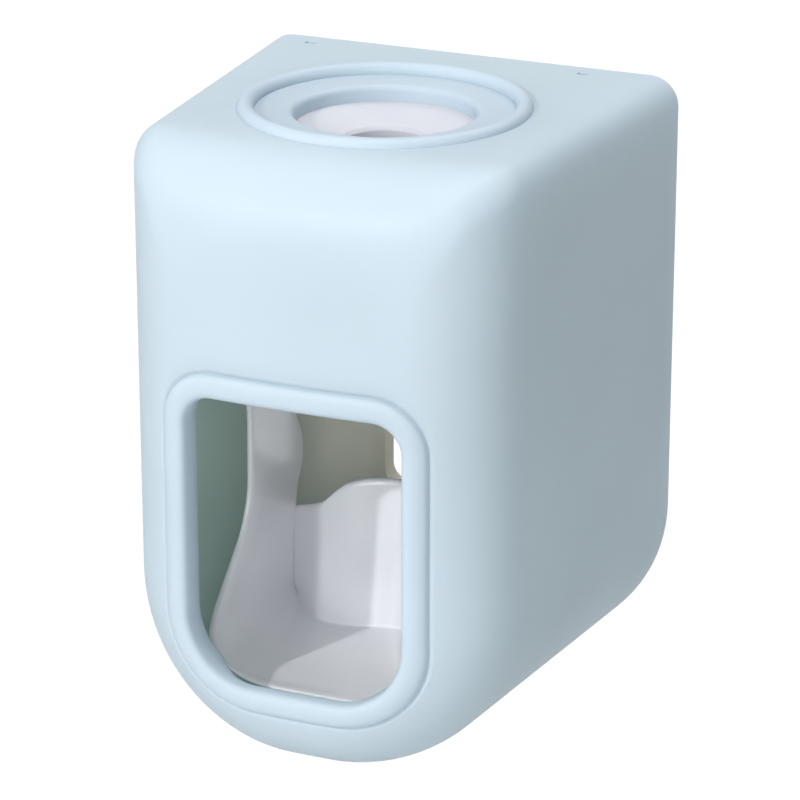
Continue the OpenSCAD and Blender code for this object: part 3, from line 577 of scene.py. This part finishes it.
# Rim of the lever: width, and the wall's share there, next to it, and gained per millimetre.
RIM_WIDTH, RIM_SHARE, WALL_SHARE, WALL_GAIN = 0.4, 0.5, 0.62, 0.1

# Front and rear edge of the arms, forwards of the casing's back plane, by height.
FRONT_EDGE = [(12.4, 57.0), (14.8, 56.8), (16.8, 55.2), (18.2, 51.8), (20.4, 46.8), (23.0, 42.6),
              (26.3, 39.0), (29.5, 36.8), (33.2, 35.5), (47.0, 35.2), (52.0, 37.4), (60.0, 37.6),
              (63.5, 36.4), (66.0, 34.4), (67.4, 31.6)]
REAR_EDGE = [(24.5, 19.4), (27.5, 18.9), (29.5, 18.2), (31.5, 16.3), (34.5, 15.8), (37.6, 16.6),
             (40.3, 18.8), (44.0, 20.3), (50.0, 20.3), (55.5, 17.5), (57.6, 14.5), (59.0, 12.6),
             (60.5, 11.9), (62.2, 12.3), (63.6, 14.4), (64.8, 18.5), (66.2, 25.5), (67.4, 30.4)]
PLATE_ROWS = [0.0, 0.07, 0.25, 0.45, 0.65, 0.82, 0.94, 1.0]
FLOOR_ROWS = [0.0, 0.06, 0.2, 0.35, 0.5, 0.65, 0.8, 0.88, 0.94, 1.0]
FLOOR_SHARES = (0.9, 0.79, 0.725, 0.68, 0.627, 0.54, 0.46, 0.345, 0.23, 0.115, 0.0)
ARM_HEIGHTS = (67.4, 66.0, 63.6, 60.5, 57.6, 54.5, 51.0, 47.0, 43.5, 40.3, 37.0, 34.0, 31.3, 28.8)
BEND_STEPS = 9


def between(table, value):
    """Reads straight lines through the points of a table, held at both ends."""
    if value <= table[0][0]:
        return table[0][1]
    for (a, fa), (b, fb) in zip(table, table[1:]):
        if value <= b:
            return fa + (fb - fa) * (value - a) / (b - a)
    return table[-1][1]


def plate_y(x):
    """How far forwards the push plate lies at x: a hollow, a flat edge, and a wing bent back
    to the arm."""
    ax = abs(x)
    if ax <= RIDGE_X:
        return PLATE_Y - HOLLOW * (1 + math.cos(math.pi * ax / RIDGE_X)) / 2
    t = max(ax - BEND_X, 0.0) / (WING_REACH - BEND_X)
    bent = (PLATE_Y - WING_BACK) * (1 + WING_EASE) * t * t / (t + WING_EASE)
    return max(PLATE_Y - bent, WING_BACK - WING_PAST)


def channel_section(share):
    """Half of the lever's section, from an arm's top to the floor's middle, at a share of its
    depth: x, z and the turn of its inward normal in degrees."""
    r = CORNER_REAR + (CORNER_FRONT - CORNER_REAR) * share
    foot = FLOOR_Z + r
    head = WING_TOP + WING_RISE * share
    arm = [(MID_HALF, z, 0.0) for z in ARM_HEIGHTS]
    low = [(MID_HALF, foot + (head - foot) * t, 0.0) for t in reversed(PLATE_ROWS[1:])]
    turns = [90.0 * k / BEND_STEPS for k in range(BEND_STEPS + 1)]
    bend = [(MID_HALF - r + r * math.cos(math.radians(turn)), foot - r * math.sin(math.radians(turn)), turn)
            for turn in turns]
    floor = [((MID_HALF - r) * t, FLOOR_Z, 90.0) for t in FLOOR_SHARES]
    return arm + low + bend + floor


HALF_COUNT = len(channel_section(0.0))
FIRST_BEND = len(ARM_HEIGHTS) + len(PLATE_ROWS) - 1


def section_point(i, share):
    """Point i round the whole section as x, z and the turn of its inward normal, in degrees."""
    half = channel_section(share)
    if i < HALF_COUNT:
        x, z, turn = half[i]
        return -x, z, turn
    return half[2 * HALF_COUNT - 2 - i]


def lean_at(z):
    """How far the leaning push plate lies back at a height."""
    return max(z - PLATE_FOOT, 0.0) * math.tan(PLATE_LEAN)


def channel_point(i, j):
    """A point of the arms and the floor, by place round the section and row from rear to front."""
    share = FLOOR_ROWS[j]
    x, z, turn = section_point(i, share)
    front = between(FRONT_EDGE, z)
    rear = between(REAR_EDGE, z) if z > WING_TOP else plate_y(x) - lean_at(z)
    a = math.radians(turn)
    rise = max((share - LIP_START) / (1 - LIP_START), 0.0) ** 1.5 * LIP_RISE * math.sin(a) ** 6
    inward = -1 if x > 0 else 1
    return on_wall(x + inward * rise * math.cos(a), rear + (front - rear) * share, z + rise * math.sin(a))


def plate_head(x):
    """Height of the top edge of the push plate and its wings at x."""
    ax = abs(x)
    start = PLATE_HALF - PLATE_CORNER
    slope = (SHOULDER_Z - WING_TOP) / (MID_HALF - SHOULDER_X)
    shoulder = SHOULDER_Z - slope * (ax - SHOULDER_X)
    if ax <= start:
        return PLATE_TOP
    if ax < PLATE_HALF:
        corner = PLATE_TOP - PLATE_CORNER + math.sqrt(PLATE_CORNER ** 2 - (ax - start) ** 2)
        return max(corner, min(shoulder, PLATE_TOP))
    return shoulder


def plate_point(i, j):
    """A point of the push plate, by place along its foot and row upwards."""
    x, z, _ = section_point(FIRST_BEND + i, 0.0)
    z += (plate_head(x) - z) * PLATE_ROWS[j]
    return on_wall(x, plate_y(x) - lean_at(z), z)


scoop = bmesh.new()
bent_grid(scoop, 2 * HALF_COUNT - 2, len(FLOOR_ROWS) - 1, channel_point)
bent_grid(scoop, 2 * (HALF_COUNT - 1 - FIRST_BEND), len(PLATE_ROWS) - 1, plate_point)
close_up(scoop, 1e-5)
lever = finish("lever_scoop", scoop, "lever", lever_abs, 180)
wall_share = lever.vertex_groups.new(name="wall_share")
for point in lever.data.vertices:
    forwards, z = -point.co.y * 1000 - PAD_THICKNESS, point.co.z * 1000 + PAD_MIDDLE_Z
    to_edge = between(FRONT_EDGE, z) - forwards
    share = RIM_SHARE if to_edge < RIM_WIDTH else min(WALL_SHARE + WALL_GAIN * to_edge, 1.0)
    wall_share.add([point.index], share, "REPLACE")
thick = lever.modifiers.new("wall", "SOLIDIFY")
thick.vertex_group = "wall_share"
thick.thickness = LEVER_T / 1000
thick.offset = 0.0
thick.use_even_offset = True
soft = lever.modifiers.new("smooth", "SUBSURF")
soft.levels = 2
soft.render_levels = 2
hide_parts("push_lever")

# Hubs on the pivot pins and bosses round the drive pin, turned on the x axis: place of the
# axis, bore and outer radius, and where they start and end from the middle plane.
HUBS = ((PIVOT_Y, PIVOT_Z, 2.05, 5.5, 20.7, 25.1), (DRIVE_Y, DRIVE_Z, 1.5, 3.2, 21.1, 24.7))
hubs = bmesh.new()
for side in (-1, 1):
    for y, z, bore, outer, start, end in HUBS:
        profile = softened([(start, bore), (end, bore), (end, outer), (start, outer)],
                           [0.2, 0.2, 0.5, 0.4])
        ring = closed_ring(hubs, [on_wall(side * x, y, z + r) for x, r in profile])
        bmesh.ops.spin(hubs, geom=ring, cent=on_wall(0, y, z), axis=(1, 0, 0), angle=math.tau,
                       steps=48, use_merge=True, use_duplicate=False)
close_up(hubs)
lever_hubs = finish("lever_hubs", hubs, "lever", lever_abs)

# ---------------------------------------------------------------- return spring

SPRING = {"axis_y": 15.0, "r": 5.6, "wire": 0.3, "low": 64.1, "high": 69.7, "turns": 3.0}
WIRE_SIDES, COIL_STEPS = 12, 108
coil = bmesh.new()
around_wire = [math.tau * k / WIRE_SIDES for k in range(WIRE_SIDES)]
wire = closed_ring(coil, [on_wall(SPRING["r"] + SPRING["wire"] * math.cos(a), SPRING["axis_y"],
                                  SPRING["low"] + SPRING["wire"] * math.sin(a)) for a in around_wire])
bmesh.ops.spin(coil, geom=wire, cent=on_wall(0, SPRING["axis_y"], 0), axis=(0, 0, 1),
               dvec=(0, 0, (SPRING["high"] - SPRING["low"]) / 1000 / COIL_STEPS),
               angle=math.tau * SPRING["turns"], steps=COIL_STEPS, use_merge=False, use_duplicate=False)
bmesh.ops.holes_fill(coil, edges=coil.edges, sides=WIRE_SIDES)
bmesh.ops.recalc_face_normals(coil, faces=coil.faces)
spring = finish("spring_coil", coil, "housing", spring_steel, 60)
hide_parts("return_spring")
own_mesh(spring)

# ---------------------------------------------------------------- CAD pieces with a moulded edge

# Half the width, in metres, within which a face across the cover belongs to its opening.
OPENING_REACH = 0.016


def eased_copy(node, name, body, material, radius_mm, inner=None):
    """The solid's own mesh, merged, with its sharp edges rounded as a mould leaves them.
    Faces that look forwards, into the casing, and those in a hole get the inner material, a painted shade
    tint."""
    work = bmesh.new()
    work.from_mesh(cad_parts[node].data)
    bmesh.ops.remove_doubles(work, verts=work.verts, dist=MERGE)
    bmesh.ops.dissolve_limit(work, angle_limit=math.radians(0.8), verts=work.verts, edges=work.edges)
    if inner:
        work.normal_update()
        for face in work.faces:
            in_hole = abs(face.calc_center_median().x) < OPENING_REACH and abs(face.normal.y) < 0.5
            face.material_index = int(face.normal.y < -0.5 or in_hole)
    made = finish(name, work, body, material)
    if inner:
        made.data.materials.append(inner)
    ease = made.modifiers.new("edge", "BEVEL")
    ease.width = radius_mm / 1000
    ease.segments = 2
    ease.limit_method = "ANGLE"
    ease.angle_limit = math.radians(SHARP_ABOVE)
    ease.harden_normals = False
    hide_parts(node)


# The cover's inside and the jamb of its opening take the painted shade tint.
eased_copy("back_cover", "back_panel", "housing", casing_abs, 0.3, cover_inside_painted_shade)
eased_copy("upper_wall_pad", "upper_tape", "housing", tape_foam, 0.2)
eased_copy("lower_wall_pad", "lower_tape", "housing", tape_foam, 0.2)

FINISHES = {
    "seal_support_ring": inner_abs,
    "core_frame": inner_abs,
    "pump_body": inner_abs,
    "nozzle_collar": inner_abs,
    "barrel_cap": inner_abs,
    "plunger": inner_abs,
    "inlet_valve": seal_silicone,
    "outlet_valve": seal_silicone,
    "plunger_seal": seal_silicone,
    "frame_screws": zinc_steel,
    "cover_screws": zinc_steel,
    "pump_screws": zinc_steel,
    "pivot_pins": zinc_steel,
    "drive_pin": zinc_steel,
}
for node, material in FINISHES.items():
    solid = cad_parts[node]
    if solid.material_slots:
        for place in solid.material_slots:
            place.material = material
    else:
        solid.data.materials.append(material)

# ---------------------------------------------------------------- floor, light and camera

WHITE = (1, 1, 1, 1)


def showing_rays(tree):
    """1 for the rays that show the surroundings: to the camera, in gloss and through glass."""
    rays = add(tree, "ShaderNodeLightPath").outputs
    seen = rays["Is Camera Ray"]
    for kind in ("Is Glossy Ray", "Is Transmission Ray"):
        seen = add(tree, "ShaderNodeMath", {"operation": "MAXIMUM"},
                   links={0: seen, 1: rays[kind]}).outputs[0]
    return seen


def seen_white(name, shade_code, keep):
    """A pale floor. The camera, gloss and glass see it white, with a share of its shading
    kept as a shadow."""
    made, tree = new_material(name)
    matt = add(tree, "ShaderNodeBsdfDiffuse", values={"Color": tint(shade_code)}).outputs[0]
    faint = add(tree, "ShaderNodeBsdfDiffuse", values={"Color": (keep, keep, keep, 1)}).outputs[0]
    glow = add(tree, "ShaderNodeEmission", values={"Color": WHITE, "Strength": 1 - keep / 2}).outputs[0]
    both = add(tree, "ShaderNodeAddShader", links={0: glow, 1: faint}).outputs[0]
    mixed = add(tree, "ShaderNodeMixShader", links={0: showing_rays(tree), 1: matt, 2: both}).outputs[0]
    add(tree, "ShaderNodeOutputMaterial", links={"Surface": mixed})
    return made


FLOOR_SIZE, FLOOR_DROP = 3.0, 0.045
floor_mesh = bmesh.new()
bmesh.ops.create_grid(floor_mesh, x_segments=8, y_segments=8, size=FLOOR_SIZE,
                      matrix=Matrix.Translation(on_wall(0, 0, 0) + Vector((0, 0, -FLOOR_DROP))))
floor_data = bpy.data.meshes.new("floor")
floor_mesh.to_mesh(floor_data)
floor_mesh.free()
floor = bpy.data.objects.new("floor", floor_data)
bpy.context.scene.collection.objects.link(floor)
floor_data.materials.append(seen_white("matt white floor", "D6D8DA", 0.1))

world = bpy.data.worlds.new("studio")
bpy.context.scene.world = world
world.use_nodes = True
sky = world.node_tree
sky.nodes.clear()
soft_light = add(sky, "ShaderNodeBackground", values={"Color": tint("F6F8FA"), "Strength": 0.05}).outputs[0]
white = add(sky, "ShaderNodeBackground", values={"Color": WHITE, "Strength": 1.0}).outputs[0]
sky_mix = add(sky, "ShaderNodeMixShader", links={0: showing_rays(sky), 1: soft_light, 2: white}).outputs[0]
add(sky, "ShaderNodeOutputWorld", links={"Surface": sky_mix})

AIM = on_wall(0, 32, 48)
LAMP_REACH, AIM_DROP = 1.25, 0.03


def around(turn, rise):
    """A place for a lamp, turned from the casing's front to the right and raised, in degrees."""
    turn, rise = math.radians(turn), math.radians(rise)
    flat = LAMP_REACH * math.cos(rise)
    return Vector((flat * math.sin(turn), -flat * math.cos(turn), LAMP_REACH * math.sin(rise) - AIM_DROP))


# Each lamp: its place, the side of its square face in metres, and its power in watts.
LAMPS = {
    "left_fill": (around(-60, 12), 0.6, 2.8),
    "front_softbox": (around(0, 12), 0.6, 3.2),
    "window_softbox": (around(25, 12), 0.6, 5.0),
    "high_softbox": (around(0, 45), 0.6, 2.7),
    "key_lamp": (Vector((-0.40, -1.12, 0.67)), 0.022, 8.0),
    "top_soft": (around(0, 85), 0.8, 8.0),
    "back_soft": (around(160, 55), 0.7, 7.0),
}
for name, (place, side, watts) in LAMPS.items():
    light = bpy.data.lights.new(name, "AREA")
    light.shape = "SQUARE"
    light.size = side
    light.energy = watts
    lamp = bpy.data.objects.new(name, light)
    lamp.location = place
    lamp.rotation_mode = "QUATERNION"
    lamp.rotation_quaternion = (AIM - place).to_track_quat("-Z", "Y")
    bpy.context.scene.collection.objects.link(lamp)

CAMERA_PLACE = (0.2235, -0.5382, 0.1774)
CAMERA_VIEW = Vector((-0.3763, 0.8588, -0.3478))
camera_data = bpy.data.cameras.new("camera")
camera_data.lens = 171.8
camera_data.sensor_width = 36.0
camera_data.clip_start = 0.01
camera_data.clip_end = 20.0
camera = bpy.data.objects.new("camera", camera_data)
camera.location = CAMERA_PLACE
camera.rotation_mode = "QUATERNION"
camera.rotation_quaternion = CAMERA_VIEW.to_track_quat("-Z", "Y")
bpy.context.scene.collection.objects.link(camera)
bpy.context.scene.camera = camera
bpy.context.scene.view_settings.view_transform = "Standard"
